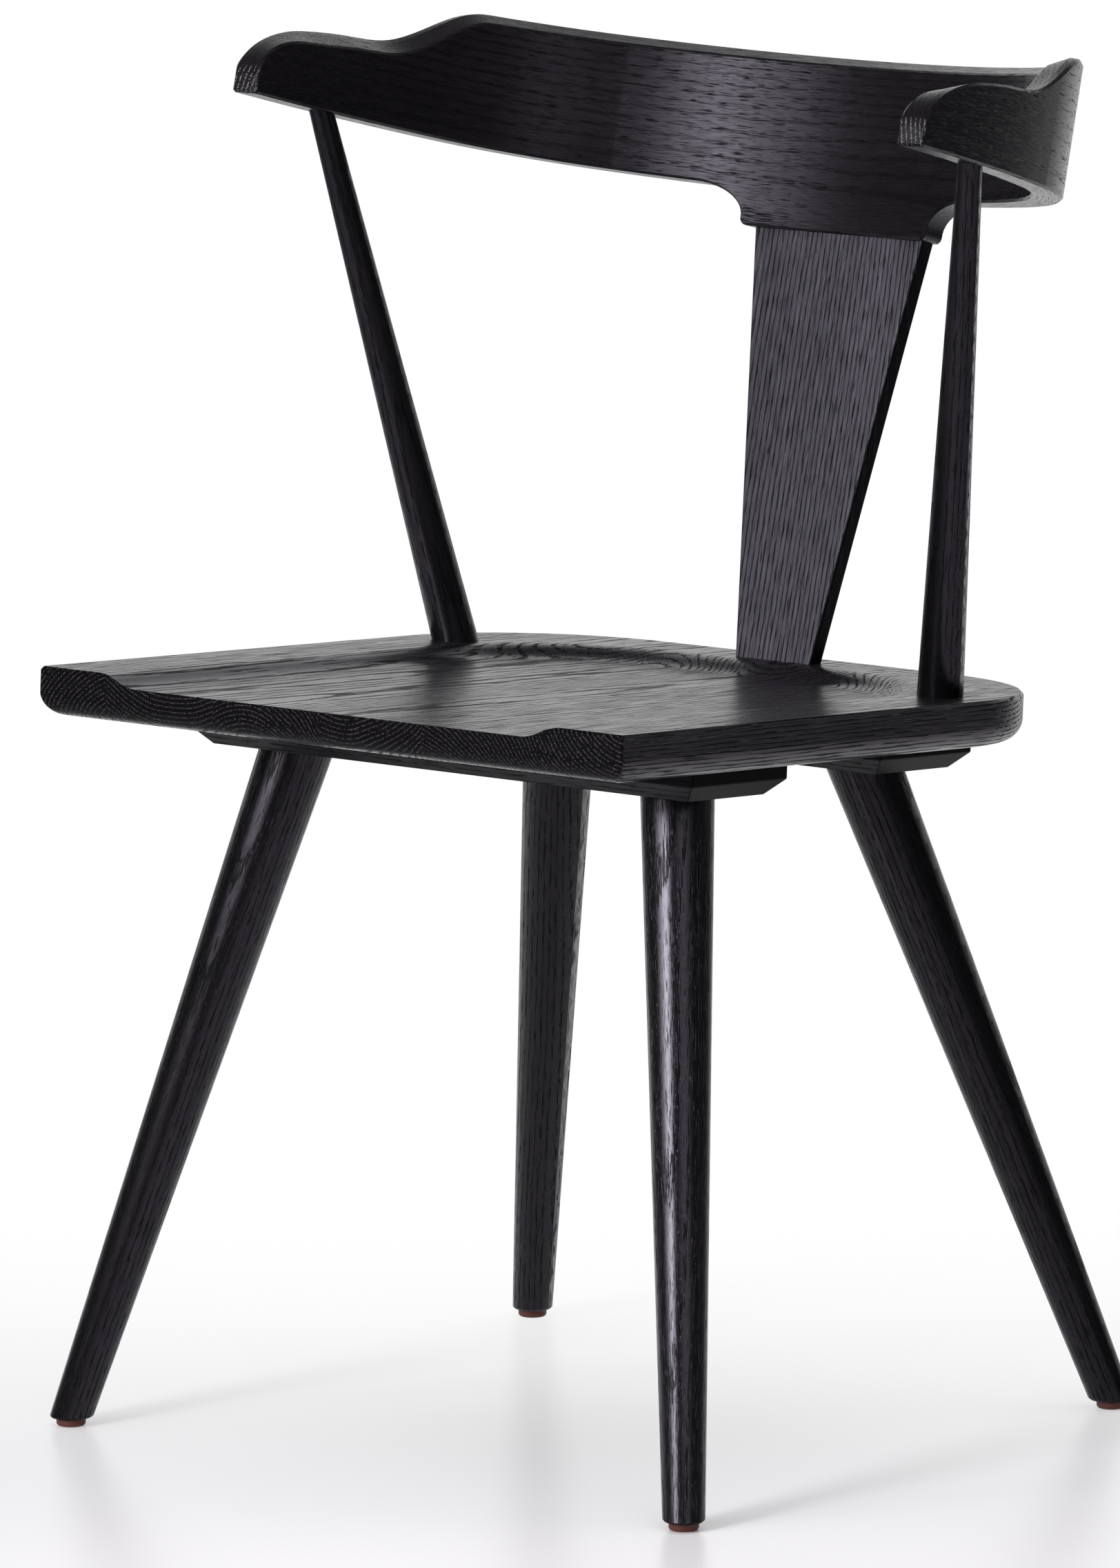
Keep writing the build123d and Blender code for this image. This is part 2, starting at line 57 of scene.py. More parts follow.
# %% Wrap a socket
class Wire:
    """One socket in a node tree; its operators add Math nodes."""

    def __init__(self, tree, socket=None):
        self.tree = tree
        self.socket = socket

    def node(self, kind, settings=None, sockets=None, output=0):
        """Adds a node: settings first, then values or links of its sockets. Gives one output."""
        made = self.tree.nodes.new(kind)
        for name, value in (settings or {}).items():
            setattr(made, name, value)
        for key, value in (sockets or {}).items():
            if isinstance(value, Wire):
                self.tree.links.new(value.socket, made.inputs[key])
            else:
                made.inputs[key].default_value = value
        return Wire(self.tree, made.outputs[output] if made.outputs else None)

    def output(self, name):
        """Another output of the same node."""
        return Wire(self.tree, self.socket.node.outputs[name])

    def maths(self, operation, *values):
        """Math node with an operation on values."""
        return self.node("ShaderNodeMath", {"operation": operation}, dict(enumerate(values)))

    def vector(self, operation, *values, output=0):
        """Vector Math node with an operation on vectors."""
        settings = {"operation": operation}
        return self.node("ShaderNodeVectorMath", settings, dict(enumerate(values)), output)

    def dot(self, direction):
        """How far a vector reaches along a direction."""
        return self.vector("DOT_PRODUCT", self, direction, output="Value")

    def length(self):
        """Length of a vector."""
        return self.vector("LENGTH", self, output="Value")

    def part(self, axis):
        """The X, Y or Z of a vector."""
        return self.node("ShaderNodeSeparateXYZ", {}, {"Vector": self}, axis)

    def most(self, other):
        """The larger of two values."""
        return self.maths("MAXIMUM", self, other)

    def __add__(self, other):
        return self.maths("ADD", self, other)

    def __sub__(self, other):
        return self.maths("SUBTRACT", self, other)

    def __rsub__(self, other):
        return self.maths("SUBTRACT", other, self)

    def __mul__(self, other):
        return self.maths("MULTIPLY", self, other)

    def __truediv__(self, other):
        return self.maths("DIVIDE", self, other)

    def __abs__(self):
        return self.maths("ABSOLUTE", self)

    __radd__ = __add__
    __rmul__ = __mul__


print("methods of Wire:", [name for name in vars(Wire) if not name.startswith("__")])

# %% [markdown]
# ## Noise and masks
# Wood has no sharp edge between its light and its dark. Noise gives soft random values, and drawn
# out along the grain it turns into fibres and pores. A wave texture also gives bands, but they are
# too even for oak. A smooth step turns a number into a mask with a soft edge.

# %% Noise and masks
noise_middle = 0.5


def noise(point, size, stretch=1.0, detail=0.0, output=0):
    """Noise in cells of a size in metres, longer along the grain, which is the third axis."""
    scale = (1 / size, 1 / size, 1 / (size * stretch))
    scaled = point.vector("MULTIPLY", point, scale)
    sockets = {"Vector": scaled, "Scale": 1.0, "Detail": detail}
    return point.node("ShaderNodeTexNoise", {"noise_dimensions": "3D"}, sockets, output)


def rise(value, low, high):
    """Mask that goes smoothly from 0 at low to 1 at high."""
    sockets = {"Value": value, "From Min": low, "From Max": high}
    return value.node("ShaderNodeMapRange", {"interpolation_type": "SMOOTHSTEP"}, sockets)


print("noise runs from 0 to 1 about", noise_middle)

# %% [markdown]
# ## Colours and materials
# A finish is a material with a tree of nodes. One colour for the whole piece would look like
# plastic, so two tones are mixed by a mask and vary all over the piece, as real stain does.
# Each material starts empty, so that nothing in it is left over from Blender's default.

# %% Colours and materials
# The Mix node has sockets for each kind of data, and these are the places of the colour ones
mix_factor, mix_first, mix_second, mix_result = 0, 6, 7, 2


def blend_colour(mask, first, second):
    """Colour that goes from the first to the second as the mask goes from 0 to 1."""
    sockets = {mix_factor: mask, mix_first: first, mix_second: second}
    return mask.node("ShaderNodeMix", {"data_type": "RGBA"}, sockets, mix_result)


def grey(level, tint=(1.0, 1.0, 1.0)):
    """Colour of one level, tinted."""
    return tuple(level * part for part in tint) + (1.0,)


def new_material(name):
    """Empty material, and a Wire to start its tree from."""
    material = bpy.data.materials.new(name)
    material.use_nodes = True
    material.node_tree.nodes.clear()
    return material, Wire(material.node_tree)


def close_material(shader):
    """Links the last shader to the material's output."""
    shader.node("ShaderNodeOutputMaterial", {}, {"Surface": shader})


print("a grey of half the level is", grey(0.5))

# %% [markdown]
# ## Rings of the tree
# Oak is ring-porous: each year starts with a row of wide pores, the early wood, and ends in dense
# late wood. A flat pattern could be laid over each piece, but it would not meet the end grain.
# This formula works in the wood's own axes: across, depth and along, with the pith, the middle of
# the tree, on the line where across and depth are 0. Rings are then plain distance from the pith,
# and any cut through them shows the right figure, on a face or on an end.

# %% Grow the rings
ring_drift = 0.005
ring_wander = {"size": 0.07, "stretch": 4.0, "detail": 2.0}
# Shares of a year between which the early wood sets in and goes over to late wood
early_start = (0.0, 0.08)
early_end = (0.22, 0.45)


def early_wood(point, ring):
    """Mask of the early wood in rings of one width, which stray from true circles by a drift."""
    wander = noise(point, output="Color", **ring_wander)
    centred = wander.vector("SUBTRACT", wander, (noise_middle,) * 3)
    shift = centred.vector("MULTIPLY", centred, (2 * ring_drift,) * 3)
    bent = point.vector("ADD", point, shift)
    flat = bent.vector("MULTIPLY", bent, (1.0, 1.0, 0.0))
    rings = flat.length() / ring
    year = rings.maths("FRACT", rings)
    return rise(year, *early_start) * (1 - rise(year, *early_end))


print("rings stray by up to", 1000 * ring_drift, "mm")

# %% [markdown]
# ## Pores
# The pores of oak are fine open grooves along the grain, crowded in the early wood and sparse in
# the late wood. They could be cut into the mesh, but there are many thousands of them, and a CAD
# node's mesh is never changed. So they are a mask: noise above an edge, which the early wood
# lowers. A Bump node makes a relief of the same mask, which breaks up the reflections.

# %% Open the pores
# Levels of noise between which a pore begins, on a face and on a cut end
pore_edge = (0.61, 0.69)
end_pore_edge = (0.68, 0.74)
end_pore = {"size": 0.0009, "stretch": 20.0, "detail": 1.0}
end_bands = 0.22


def pore_mask(field, edge, bands, early):
    """Mask of the pores: noise above an edge, which the early wood lowers by its bands."""
    low, high = edge
    lowered = bands * early
    return rise(field, low - lowered, high - lowered)


def relief_normal(height, depth):
    """Normal of a surface on which a height of 1 stands for a depth in metres."""
    return height.node("ShaderNodeBump", {}, {"Strength": 1.0, "Distance": depth, "Height": height})


print("pores on a cut end are", 1000 * end_pore["size"], "mm wide")

# %% [markdown]
# ## Black stain
# The stain soaks into the pores and leaves them dull and black, while the dense wood between them
# keeps an oiled sheen. One shader could vary its roughness, but its specular level stays a single
# number, because the export drops a linked one. So there are three shaders, which masks mix: the
# face of the wood, the pits of its pores, and the end grain, where the pores are cut across and
# show as dots.

# %% Mix the stained oak
stain_tint = (1.03, 0.88, 1.09)
sheen_tint = (0.90, 0.84, 1.0, 1.0)
pore_black = grey(0.0022, stain_tint)
pit_share = 0.85
broad_patch = {"size": 0.045, "stretch": 5.0, "detail": 2.0}
# A fibre's width and its stretch, each as a multiple of a pore's
fibre_width, fibre_stretch = 0.5, 3
# How much fibres, broad patches and early wood change the shade, the roughness and the height
shade_middle = 0.40
fibre_shade, broad_shade, early_shade = 1.6, 0.5, 0.2
fibre_rough, broad_rough = 0.20, 0.08
fibre_height = 0.5


def mix_shaders(mask, first, second):
    """Shader that goes from the first to the second as the mask goes from 0 to 1."""
    return mask.node("ShaderNodeMixShader", {}, {0: mask, 1: first, 2: second})


def stained_oak(
    name, place, ring=0.0033, pore=0.0008, streak=20.0, bands=0.17, rough=0.26, gloss=0.30,
    relief=0.00014, tones=(0.0025, 0.0100), tint=stain_tint, dot=0.036, end_gloss=0.06,
):
    """Oak whose place() gives a point in the wood's axes and a mask of its cut ends."""
    material, start = new_material(name)
    point, cut_end = place(start)
    early = early_wood(point, ring)
    pores = pore_mask(noise(point, pore, streak, detail=1.0), pore_edge, bands, early)
    end_pores = pore_mask(noise(point, **end_pore), end_pore_edge, end_bands, early)
    fibre = noise(point, fibre_width * pore, fibre_stretch * streak, detail=2.0)
    fibre_change = fibre - noise_middle
    broad_change = noise(point, **broad_patch) - noise_middle

    shade = shade_middle + fibre_shade * fibre_change + broad_shade * broad_change
    shade = rise(shade - early_shade * early, 0.0, 1.0)
    face = start.node("ShaderNodeBsdfPrincipled", {}, {
        "Base Color": blend_colour(shade, grey(tones[0], tint), grey(tones[1], tint)),
        "Roughness": rough + broad_rough * broad_change + fibre_rough * fibre_change,
        "Specular IOR Level": gloss, "Specular Tint": sheen_tint,
        "Normal": relief_normal(fibre_height * fibre - pores, relief),
    })
    pit = start.node("ShaderNodeBsdfPrincipled", {}, {
        "Base Color": pore_black, "Roughness": 0.75, "Specular IOR Level": 0.08,
    })
    end = start.node("ShaderNodeBsdfPrincipled", {}, {
        "Base Color": blend_colour(end_pores, pore_black, grey(dot, stain_tint)),
        "Roughness": 0.45, "Specular IOR Level": end_gloss,
    })
    grain = mix_shaders(pores * pit_share, face, pit)
    close_material(mix_shaders(cut_end, grain, end))
    return material


print("pores are", [round(part, 5) for part in pore_black[:3]])

# %% [markdown]
# ## The wood's axes of a straight piece
# A leg's grain runs along the leg, whichever way the leg leans. The leg could be made upright and
# then turned, but a CAD node stays where it is, so a Mapping node turns the coordinates instead:
# its rotation brings the grain onto the third axis, and its location puts the pith where the
# tree's middle was when the blank was sawn. A face that looks along the grain is a cut end.

# %% Turn a piece's coordinates into the wood's axes
# How far a face looks along the grain where it begins to be a cut end, and where it is one
end_facing = (0.40, 0.70)


def coordinate(start, kind):
    """One kind of coordinate: Object is the point that is shaded, Normal the way its face looks."""
    return start.node("ShaderNodeTexCoord", {}, {}, kind)


def turned_point(start, turn, location):
    """The point that is shaded, turned into other axes and moved."""
    point = coordinate(start, "Object")
    sockets = {"Vector": point, "Location": location, "Rotation": turn.to_euler()}
    return start.node("ShaderNodeMapping", {"vector_type": "POINT"}, sockets)


def straight_grain(origin, along, up, pith, roll=0.0):
    """Gives a place() for a straight piece: up is the depth direction before a roll in degrees."""
    along = Vector(along).normalized()
    depth = (Vector(up) - along * along.dot(Vector(up))).normalized()
    depth = Matrix.Rotation(math.radians(roll), 3, along) @ depth
    across = depth.cross(along)
    turn = Matrix((across, depth, along))
    location = Vector((*pith, 0.0)) - turn @ Vector(origin)

    def place(start):
        """Point in the wood's axes, and the mask of the cut ends."""
        facing = coordinate(start, "Normal").dot(along)
        return turned_point(start, turn, location), rise(abs(facing), *end_facing)

    return place


print("a face is a cut end from a facing of", end_facing)

# %% [markdown]
# ## Seat boards
# The seat is glued up from six boards with the grain running front to back. One finish could cover
# them all, but each board came from another place in the tree, so each gets its own pith, and its
# end rings differ on the front edge. A pith above or below a board gives arched figures where the
# dish cuts through the rings. The gloss is the highest here, because the top mirrors the white
# behind the chair.

# %% Stain the seat boards
seat_tilt = math.radians(3.4)
seat_along = Vector((0.0, math.cos(seat_tilt), -math.sin(seat_tilt)))
seat_up = Vector((0.0, math.sin(seat_tilt), math.cos(seat_tilt)))
# Metres along the tree from one board's place to the next one's
board_shift = 0.3
# Each board's middle as seen from the pith: across and depth
board_piths = (
    (0.045, 0.045), (0.010, -0.075), (-0.018, 0.035),
    (-0.020, -0.060), (-0.055, 0.050), (0.040, -0.045),
)


def paint(node, material):
    """Gives a CAD node its finish."""
    nodes[node].data.materials.clear()
    nodes[node].data.materials.append(material)


for number, pith in enumerate(board_piths, start=1):
    board = f"seat_board_{number}"
    low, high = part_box(board)
    origin = (low + high) / 2 + seat_along * board_shift * number
    board_oak = stained_oak(
        f"{board}_oak", straight_grain(origin, seat_along, seat_up, pith), ring=0.0027,
        pore=0.0011, streak=28.0, bands=0.24, rough=0.28, gloss=0.72, tones=(0.004, 0.015), dot=0.045,
    )
    paint(board, board_oak)
    print("board", number, "is", round((high.x - low.x) * 1000), "mm wide, pith at", pith)

# %% [markdown]
# ## Cleats under the seat
# Two cleats run across the boards, keep them flat and take the legs' tenons. Their grain runs from
# side to side. They could share the seat's finish, but they are smoother and duller in the
# photograph, so their sheen is lower, and their cut ends stay plain black.

# %% Stain the cleats
to_the_right = (1, 0, 0)
cleat_pith = (0.040, 0.060)
for end in ("front", "rear"):
    cleat = f"{end}_cleat"
    low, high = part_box(cleat)
    place = straight_grain((low + high) / 2, to_the_right, seat_up, cleat_pith)
    cleat_oak = stained_oak(f"{cleat}_oak", place, rough=0.42, gloss=0.13, relief=0.0001, dot=0.004)
    paint(cleat, cleat_oak)
    print(end, "cleat is", round((high.x - low.x) * 1000), "mm long")

# %% [markdown]
# ## Legs and back posts
# Legs and posts are turned from straight blanks, so the rings cross them at a slant and come out
# as long narrow figures. Their lean could be written down for each, but the mesh already has it:
# a bar runs from the middle of its lowest points to the middle of its highest. A different roll
# for each keeps them from looking stamped, and each has its own gloss, as in the photograph. That
# gloss stands in for light: a higher one paints a stronger highlight, a lower one paints shade.

# %% Stain the turned pieces
to_the_back = (0, 1, 0)
bar_pith = (0.012, 0.048)
# Each bar with the roll of its rings in degrees and its gloss, which paints its highlight or its shade
bars = {
    "front_left_leg": (20, 0.42), "front_right_leg": (205, 0.66),
    "rear_left_leg": (110, 0.28), "rear_right_leg": (300, 0.26),
    "left_back_post": (65, 0.46), "right_back_post": (160, 0.30),
}


def bar_ends(node, reach=0.009):
    """Middles of the lowest and the highest points of a bar."""
    places = [vertex.co.copy() for vertex in nodes[node].data.vertices]
    bottom = min(place.z for place in places)
    top = max(place.z for place in places)
    low = [place for place in places if place.z < bottom + reach]
    high = [place for place in places if place.z > top - reach]
    return sum(low, Vector()) / len(low), sum(high, Vector()) / len(high)


for node, (roll, gloss) in bars.items():
    foot, head = bar_ends(node)
    place = straight_grain(foot, head - foot, to_the_back, bar_pith, roll)
    bar_oak = stained_oak(
        f"{node}_oak", place, pore=0.0005, streak=26.0, bands=0.18,
        rough=0.20, gloss=gloss, relief=0.0001, tones=(0.0018, 0.0065),
    )
    paint(node, bar_oak)
    print(node, "is", round((head - foot).length * 1000), "mm long")

# %% [markdown]
# ## Splat
# The splat is a thin flat board sawn across the rings, so its face shows fine upright lines
# instead of arches, and its pith lies far to one side. It could share the legs' finish, but its
# face is the palest of the chair, so it gets paler tones, and these are painted sheen: they stand
# in for the soft reflection of the front lamp. Its narrow edges are black in the photograph, so
# they join the mask of the cut ends, and that black is painted shade.

# %% Stain the splat
back_lean = math.radians(14.3)
lean_up = (0.0, math.sin(back_lean), math.cos(back_lean))
lean_back = (0.0, math.cos(back_lean), -math.sin(back_lean))
splat_pith = (0.110, 0.045)
# How far a face looks sideways where the splat's narrow edges begin to be painted dark as shade, and
# where they are
shaded_edge_facing = (0.5, 0.85)
low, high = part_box("back_splat")
splat_face = straight_grain((low + high) / 2, lean_up, lean_back, splat_pith)


def splat_grain(start):
    """Point of the splat in the wood's axes, and a mask of its cut ends and its narrow edges, whose
    dark is painted shade.
    """
    point, cut_end = splat_face(start)
    sideways = coordinate(start, "Normal").part("X")
    return point, cut_end.most(rise(abs(sideways), *shaded_edge_facing))


# Painted sheen: the splat's pale tones stand in for the soft reflection of the front lamp
splat_oak = stained_oak(
    "splat_oak", splat_grain, pore=0.0005, streak=30.0, rough=0.40,
    tones=(0.012, 0.150), tint=(0.96, 0.89, 1.09), dot=0.012,
)
paint("back_splat", splat_oak)
print("splat is", round((high.x - low.x) * 1000), "mm wide")

# %% [markdown]
# ## Bend of the crest rail
# The crest is one rail bent round the back, and its grain follows the bend. A UV map could carry
# the grain round, but a CAD node's mesh is never changed, so the shader uses the shape itself.
# In plan, the inner face is three arcs on each side: an arm, a tight corner and half of the back.
# This step works out at which turn, and how far along the bend, each arc starts.

# %% Measure the bend
rail_origin = Vector((0.0, -0.0396, 0.7761))
# Centre, radius and turn in degrees of each arc, from the end of an arm to the middle of the back
arcs = (
    ((-0.322, 0.0), 0.560, 15.0),
    ((0.0789, 0.1074), 0.145, 46.0),
    ((0.0, -0.0349), 0.3077, 29.0),
)
arc_starts = [(0.0, 0.0)]
for centre, radius, sweep in arcs:
    start_turn, start_length = arc_starts[-1]
    sweep_turn = math.radians(sweep)
    arc_starts.append((start_turn + sweep_turn, start_length + radius * sweep_turn))
half_length = arc_starts[-1][1]
print("crest is", round(2000 * half_length), "mm long along its inner face")

# %% [markdown]
# ## Grain of the crest rail
# Shader maths finds on which arc a point lies and turns it into three lengths: height, depth from
# the inner face, and length along the bend. These are the wood's axes, so the same stained oak
# fits. The first millimetre of the length is the cut end of an arm, with its pores as pale dots,
# partly end grain and partly a painted glint.

# %% Stain the crest
crest_pith = (0.020, 0.110)
end_skin = (0.0004, 0.0014)


def arc_polar(reach, plan_y, centre):
    """Turn of a point about an arc's centre, and its distance from there."""
    out_x = reach - centre[0]
    out_y = plan_y - centre[1]
    square = out_x * out_x + out_y * out_y
    return out_x.maths("ARCTAN2", out_y, out_x), square.maths("SQRT", square)


def crest_grain(start):
    """Point of the crest in the wood's axes, and the mask of its cut ends."""
    turn = Matrix((to_the_right, lean_back, lean_up))
    plan_x = turned_point(start, turn, -(turn @ rail_origin)).part("X")
    plan_y = plan_x.output("Y")
    height = plan_x.output("Z")
    polars = [arc_polar(abs(plan_x), plan_y, centre) for centre, radius, sweep in arcs]

    # The turn about the corner's centre tells on which arc a point lies
    corner_turn = polars[1][0]
    arm_end, corner_end = arc_starts[1][0], arc_starts[2][0]
    on_arm = corner_turn.maths("LESS_THAN", corner_turn, arm_end)
    on_back = corner_turn.maths("GREATER_THAN", corner_turn, corner_end)
    shares = (on_arm, 1 - on_arm - on_back, on_back)
    length = 0.0
    depth = 0.0
    for share, arc, begin, (arc_turn, distance) in zip(shares, arcs, arc_starts, polars):
        radius = arc[1]
        start_turn, start_length = begin
        length = length + share * (start_length + (arc_turn - start_turn) * radius)
        depth = depth + share * (distance - radius)

    along = plan_x.maths("SIGN", plan_x) * (half_length - length)
    sockets = {"X": height + crest_pith[0], "Y": depth + crest_pith[1], "Z": along}
    point = start.node("ShaderNodeCombineXYZ", {}, sockets)
    return point, 1 - rise(length, *end_skin)


# The arm ends' pale dots are partly end grain and partly a painted glint
crest_oak = stained_oak(
    "crest_oak", crest_grain, pore=0.0005, streak=24.0, bands=0.09,
    gloss=0.25, tones=(0.005, 0.017), dot=0.16, end_gloss=0.26,
)
paint("crest_rail", crest_oak)
print("crest has", len(crest_oak.node_tree.nodes), "shader nodes")

# %% [markdown]
# ## Screws and nails
# The screws sit under the cleats and the nails inside the glides. They are plain steel. One flat
# grey could do for parts this small, but it looks like plastic, so fine turning marks make the
# tone and the roughness waver.

# %% Finish the steel
steel_nodes = ("front_cleat_screws", "rear_cleat_screws", "glide_nails")


def bright_steel(name):
    """Steel with fine turning marks."""
    material, start = new_material(name)
    marks = noise(coordinate(start, "Object"), size=0.0006, stretch=0.3, detail=2.0)
    close_material(start.node("ShaderNodeBsdfPrincipled", {}, {
        "Base Color": blend_colour(marks, grey(0.42), grey(0.62)),
        "Metallic": 1.0, "Roughness": 0.28 + 0.2 * marks,
    }))
    return material


steel = bright_steel("zinc_steel")
for node in steel_nodes:
    paint(node, steel)
print("steel on", len(steel_nodes), "nodes")

# %% [markdown]
# ## Plastic of the floor glides
# Each foot stands on a small brown plastic disc that is nailed on. Moulded plastic could be one
# flat colour, but a close look shows that it is a little mottled, and that a fine grain dulls its
# shine. Both come from noise.

# %% Mould the brown plastic
dark_brown = (0.060, 0.011, 0.006, 1)
light_brown = (0.140, 0.030, 0.016, 1)
grain_depth = 0.00003


def brown_plastic(name):
    """Moulded plastic, mottled and finely grained."""
    material, start = new_material(name)
    point = coordinate(start, "Object")
    mottle = noise(point, size=0.0025, detail=3.0)
    fine = noise(point, size=0.0004, detail=1.0)
    close_material(start.node("ShaderNodeBsdfPrincipled", {}, {
        "Base Color": blend_colour(mottle, dark_brown, light_brown),
        "Roughness": 0.42 + 0.2 * mottle, "Normal": relief_normal(fine, grain_depth),
    }))
    return material


plastic = brown_plastic("glide_brown")
print("plastic:", plastic.name)

# %% [markdown]
# ## Shape of a floor glide
# A glide is a disc with rounded rims, a little smaller at the floor. A plain cylinder could stand
# for it, but its sharp edges would show under the feet. So the disc grows from rim to rim: an
# extrusion adds each step in height, and a scale sets the width of its top. The disc is made of
# nodes, because the next step places it with nodes.

# %% Turn one disc
# Each rim's share of the glide's height and of its radius, from the floor up
rims = ((0.0, 0.84), (0.05, 0.90), (0.16, 0.96), (0.34, 1.0), (0.86, 1.0), (0.96, 0.975), (1.0, 0.93))
rim_corners = 48
weld_distance = 1e-6


def turned_disc(start, radius, height):
    """Disc that grows upwards from rim to rim and is closed underneath."""
    sockets = {"Vertices": rim_corners, "Radius": radius * rims[0][1]}
    disc = start.node("GeometryNodeMeshCircle", {"fill_type": "NGON"}, sockets)
    base = start.node("GeometryNodeFlipFaces", {}, {"Mesh": disc})
    selection = {}
    for (low, inner), (high, outer) in zip(rims, rims[1:]):
        sockets = {"Mesh": disc, "Offset Scale": height * (high - low), **selection}
        disc = start.node("GeometryNodeExtrudeMesh", {"mode": "FACES"}, sockets)
        selection = {"Selection": disc.output("Top")}
        sockets = {"Geometry": disc, "Scale": outer / inner, **selection}
        disc = start.node("GeometryNodeScaleElements", {"domain": "FACE"}, sockets)
    joined = start.node("GeometryNodeJoinGeometry")
    for part in (base, disc):
        start.tree.links.new(part.socket, joined.socket.node.inputs[0])
    sockets = {"Geometry": joined, "Distance": weld_distance}
    return start.node("GeometryNodeMergeByDistance", {}, sockets)


print("a glide has", len(rims), "rims of", rim_corners, "corners")

# %% [markdown]
# ## A tree that sets the glides
# All four glides are alike, and each stands on a point. They could be copied by hand, but this is
# what Geometry Nodes are for: the tree sets the disc on every point of its input mesh. Its sizes
# are named inputs, and it ends by making the instances real, because the export drops instances.

# %% Build the tree that sets the glides
def glide_tree():
    """Node group that sets a turned disc on every point, and the identifiers of its sizes."""
    tree = bpy.data.node_groups.new("set_glides", "GeometryNodeTree")
    face = tree.interface
    face.new_socket("Feet", in_out="INPUT", socket_type="NodeSocketGeometry")
    sizes = {}
    for name in ("Radius", "Height"):
        sizes[name] = face.new_socket(name, in_out="INPUT", socket_type="NodeSocketFloat").identifier
    face.new_socket("Glides", in_out="OUTPUT", socket_type="NodeSocketGeometry")
    start = Wire(tree)
    feet = start.node("NodeGroupInput", {}, {}, "Feet")
    disc = turned_disc(start, feet.output("Radius"), feet.output("Height"))
    placed = start.node("GeometryNodeInstanceOnPoints", {}, {"Points": feet, "Instance": disc})
    real = start.node("GeometryNodeRealizeInstances", {}, {"Geometry": placed})
    done = start.node("GeometryNodeSetMaterial", {}, {"Geometry": real, "Material": plastic})
    start.node("NodeGroupOutput", {}, {0: done})
    return tree, sizes


tree, size_inputs = glide_tree()
print("inputs of the tree:", list(size_inputs))

# %% [markdown]
# ## Glides under the feet
# The points could be measured from the photograph, but the boxes of the CAD glides give them to
# the last digit, so the discs stand where the solids do. The tree's result becomes a plain mesh
# and its modifier goes, so that the piece is finished here. The discs then replace four nodes.

# %% Set a glide under each foot
glide_names = [f"{end}_{side}_glide" for end in ("front", "rear") for side in ("left", "right")]
glide_boxes = [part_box(name) for name in glide_names]
first_low, first_high = glide_boxes[0]
glide_sizes = {"Radius": (first_high.x - first_low.x) / 2, "Height": first_high.z - first_low.z}


def add_object(name, data):
    """Object in the scene that shows a mesh, a lamp or a camera."""
    made = bpy.data.objects.new(name, data)
    bpy.context.scene.collection.objects.link(made)
    return made


def realised(piece):
    """Turns a piece's modifiers into its plain mesh."""
    shown = piece.evaluated_get(bpy.context.evaluated_depsgraph_get())
    mesh = bpy.data.meshes.new_from_object(shown)
    piece.modifiers.clear()
    piece.data = mesh


feet_mesh = bpy.data.meshes.new("glide_feet")
foot_places = [((low.x + high.x) / 2, (low.y + high.y) / 2, low.z) for low, high in glide_boxes]
feet_mesh.from_pydata(foot_places, [], [])
glides = add_object("floor_glides", feet_mesh)
modifier = glides.modifiers.new("set_glides", "NODES")
modifier.node_group = tree
for name, identifier in size_inputs.items():
    modifier[identifier] = glide_sizes[name]
realised(glides)
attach(glides, "root")
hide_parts(*glide_names)
print("glides:", len(glides.data.polygons), "faces")

# %% [markdown]
# ## White sweep
# Behind the chair the studio floor runs up into white. A curved backdrop could be modelled, but it
# would stand in the way of other views, so the sweep is a mask on the floor itself, for the camera
# and for reflections alone. Limits to the right and the left keep the white out of the reflections
# there, so that the chair's sides stay dark. Far off, the camera sees white on every side.

# %% Find the white sweep
view_yaw = math.radians(38.609)
sweep_direction = Vector((-math.sin(view_yaw), math.cos(view_yaw), 0.0))
side_direction = Vector((math.cos(view_yaw), math.sin(view_yaw), 0.0))
# Metres between which each mask of the floor rises
sweep_rise = (-0.55, 0.65)
right_rise = (0.5, 1.3)
right_end = (0.0, 0.6)
left_rise = (0.9, 1.8)
far_rise = (1.0, 2.4)
# Metres that the right limit goes back for each metre to the right
right_slope = 0.93


def white_sweep(start, point):
    """Mask of the floor's plain white, which only the camera and reflections see."""
    way_back = point.dot(sweep_direction)
    way_right = point.dot(side_direction)
    camera_ray = start.node("ShaderNodeLightPath", {}, {}, "Is Camera Ray")
    seen = camera_ray.most(camera_ray.output("Is Glossy Ray"))
    seen = seen.most(camera_ray.output("Is Transmission Ray"))
    behind_right = rise(way_back - right_slope * way_right, *right_end)
    far_right = rise(way_right, *right_rise) * (1 - behind_right)
    left_limit = 1 - rise(0 - way_right, *left_rise)
    mirrored = (seen - camera_ray) * (1 - far_right) * left_limit
    sweep = rise(way_back, *sweep_rise) * (camera_ray + mirrored)
    return sweep.most(camera_ray * rise(point.length(), *far_rise))


print("the sweep runs towards", tuple(round(c, 3) for c in sweep_direction))

# %% [markdown]
# ## Floor paint
# The chair stands on a pale floor with a soft gloss: each foot shows a blurred reflection. One
# even white could be enough, but the front lamp stands to the camera's left and makes that side too
# bright, so the paint is darker there. From below the floor is clear, so that the chair's
# underside can be looked at.

# %% Paint the floor
lamp_rise = (0.05, 0.95)
right_tone = (0.985, 0.96, 1.0, 1)
left_tone = (0.43, 0.419, 0.439, 1)


